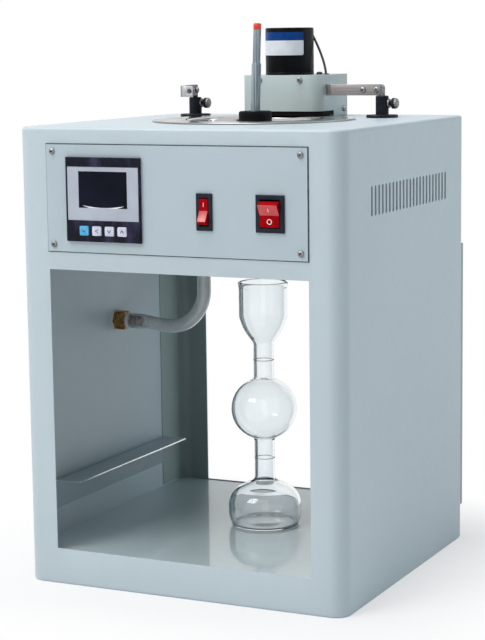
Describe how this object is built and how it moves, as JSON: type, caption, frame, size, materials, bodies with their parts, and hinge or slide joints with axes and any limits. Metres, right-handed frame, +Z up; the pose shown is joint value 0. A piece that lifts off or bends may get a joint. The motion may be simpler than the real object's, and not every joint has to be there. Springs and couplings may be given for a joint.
{
  "type": "kinematic viscometer",
  "caption": "Bench viscometer: sheet-metal cabinet with an open chamber and a two-bulb glass flask, a heated stirred bath above, controller and rocker switches.",
  "frame": {"origin": "centre of the base plate's underside", "axes": "+Z up, the fascia and the chamber's front opening towards -Y, +X to the right as seen from the front"},
  "size_m": [0.329, 0.3095, 0.49],
  "materials": {
    "sheet_paint": "satin grey-green paint on folded sheet",
    "shroud_paint": "satin grey-green paint",
    "screw_steel": "zinc-plated",
    "case_plastic": "moulded, fine grain",
    "face_film": "printed film, satin",
    "display_glass": "tinted window, glossy",
    "key_cyan": "soft moulded",
    "key_grey": "soft moulded",
    "rocker_red": "translucent moulded, glossy",
    "bath_steel": "turned and polished stainless steel",
    "heater_sheath": "drawn tube, dull",
    "stopper_black": "moulded, matt",
    "clear_glass": "clear blown glass",
    "cap_orange": "moulded",
    "brass_turned": "turned, a little tarnished",
    "clear_hose": "soft clear PVC hose",
    "motor_black": "satin black",
    "lead_black": "matt",
    "shaft_steel": "ground steel",
    "pillar_black": "blacked steel",
    "thumb_chrome": "turned and chromed",
    "arm_steel": "cold-rolled strip",
    "tongue_black": "blacked steel"
  },
  "bodies": {
    "cabinet": {"base_plate": "sheet_paint", "front_frame": "sheet_paint", "rear_frame": "sheet_paint", "left_side_panel": "sheet_paint", "right_side_panel": "sheet_paint", "top_panel": "sheet_paint", "chamber_floor": "sheet_paint", "chamber_ceiling": "sheet_paint", "side_ledge": "sheet_paint", "fascia_plate": "sheet_paint", "fascia_screws": "screw_steel", "controller_case": "case_plastic", "controller_face": "face_film", "controller_display": "display_glass", "power_switch_body": "case_plastic", "stirrer_switch_body": "case_plastic", "bath_cover_ring": "bath_steel", "bath_vessel": "bath_steel", "inner_pot": "bath_steel", "pot_feet": "bath_steel", "outlet_tube": "bath_steel", "heater_element": "heater_sheath", "temperature_probe": "bath_steel", "drain_fitting": "brass_turned", "drain_nut": "brass_turned", "drain_hose": "clear_hose", "drain_nipple": "brass_turned", "left_pillar": "pillar_black", "right_pillar": "pillar_black", "mains_inlet": "case_plastic", "inlet_pins": "shaft_steel"},
    "set_key_body": {"set_key": "key_cyan"},
    "shift_key_body": {"shift_key": "key_grey"},
    "down_key_body": {"down_key": "key_grey"},
    "up_key_body": {"up_key": "key_grey"},
    "power_rocker_body": {"power_rocker": "rocker_red"},
    "stirrer_rocker_body": {"stirrer_rocker": "rocker_red"},
    "lid": {"pot_lid": "bath_steel", "lid_stopper": "stopper_black"},
    "thermometer": {"thermometer_glass": "clear_glass", "thermometer_cap": "cap_orange"},
    "motor_head": {"motor_shroud": "shroud_paint", "motor_bracket": "shroud_paint", "shroud_screws": "screw_steel", "shroud_pad": "stopper_black", "motor": "motor_black", "motor_lead": "lead_black", "right_arm_bracket": "tongue_black", "right_arm_strip": "arm_steel", "right_arm_screws": "screw_steel"},
    "stirrer": {"motor_shaft": "shaft_steel", "shaft_coupling": "shaft_steel", "stirrer_shaft": "shaft_steel", "stirrer_blades": "shaft_steel"},
    "left_arm": {"left_arm_bracket": "tongue_black", "left_arm_strip": "arm_steel", "left_arm_screws": "screw_steel"},
    "left_clamp": {"left_thumb_screw": "thumb_chrome"},
    "right_clamp": {"right_thumb_screw": "thumb_chrome"},
    "flask": {"receiving_flask": "clear_glass"}
  },
  "joints": [
    {"name": "set_key_press", "type": "slide", "parent": "cabinet", "child": "set_key_body", "axis": [0, 1, 0], "range_m": [0, 0.0006], "stiffness_N_per_m": 800},
    {"name": "shift_key_press", "type": "slide", "parent": "cabinet", "child": "shift_key_body", "axis": [0, 1, 0], "range_m": [0, 0.0006], "stiffness_N_per_m": 800},
    {"name": "down_key_press", "type": "slide", "parent": "cabinet", "child": "down_key_body", "axis": [0, 1, 0], "range_m": [0, 0.0006], "stiffness_N_per_m": 800},
    {"name": "up_key_press", "type": "slide", "parent": "cabinet", "child": "up_key_body", "axis": [0, 1, 0], "range_m": [0, 0.0006], "stiffness_N_per_m": 800},
    {"name": "power_rocker_tip", "type": "hinge", "parent": "cabinet", "child": "power_rocker_body", "pos_m": [0.0895, -0.1487, 0.3348], "axis": [1, 0, 0], "range_deg": [-30, 0]},
    {"name": "stirrer_rocker_tip", "type": "hinge", "parent": "cabinet", "child": "stirrer_rocker_body", "pos_m": [0.0294, -0.1487, 0.3348], "axis": [1, 0, 0], "range_deg": [0, 30]},
    {"name": "lid_lift", "type": "slide", "parent": "cabinet", "child": "lid", "axis": [0, 0, 1], "range_m": [0, 0.05]},
    {"name": "thermometer_pull", "type": "slide", "parent": "lid", "child": "thermometer", "axis": [0.0401, 0, 0.9992], "range_m": [0, 0.04]},
    {"name": "motor_head_lift", "type": "slide", "parent": "cabinet", "child": "motor_head", "axis": [0, 0, 1], "range_m": [0, 0.014]},
    {"name": "stirrer_spin", "type": "hinge", "parent": "motor_head", "child": "stirrer", "pos_m": [0, 0.089, 0.38], "axis": [0, 0, 1], "continuous": true},
    {"name": "left_arm_swing", "type": "hinge", "parent": "cabinet", "child": "left_arm", "pos_m": [-0.096, 0.081, 0.42], "axis": [0, 0, 1], "range_deg": [-180, 46]},
    {"name": "left_clamp_turn", "type": "hinge", "parent": "cabinet", "child": "left_clamp", "pos_m": [-0.09, 0.081, 0.4165], "axis": [1, 0, 0], "range_deg": [-360, 0]},
    {"name": "right_clamp_turn", "type": "hinge", "parent": "cabinet", "child": "right_clamp", "pos_m": [0.102, 0.081, 0.4165], "axis": [1, 0, 0], "range_deg": [-360, 0]},
    {"name": "flask_slide", "type": "slide", "parent": "cabinet", "child": "flask", "axis": [0, -0.9997, 0.0262], "range_m": [0, 0.19]}
  ]
}
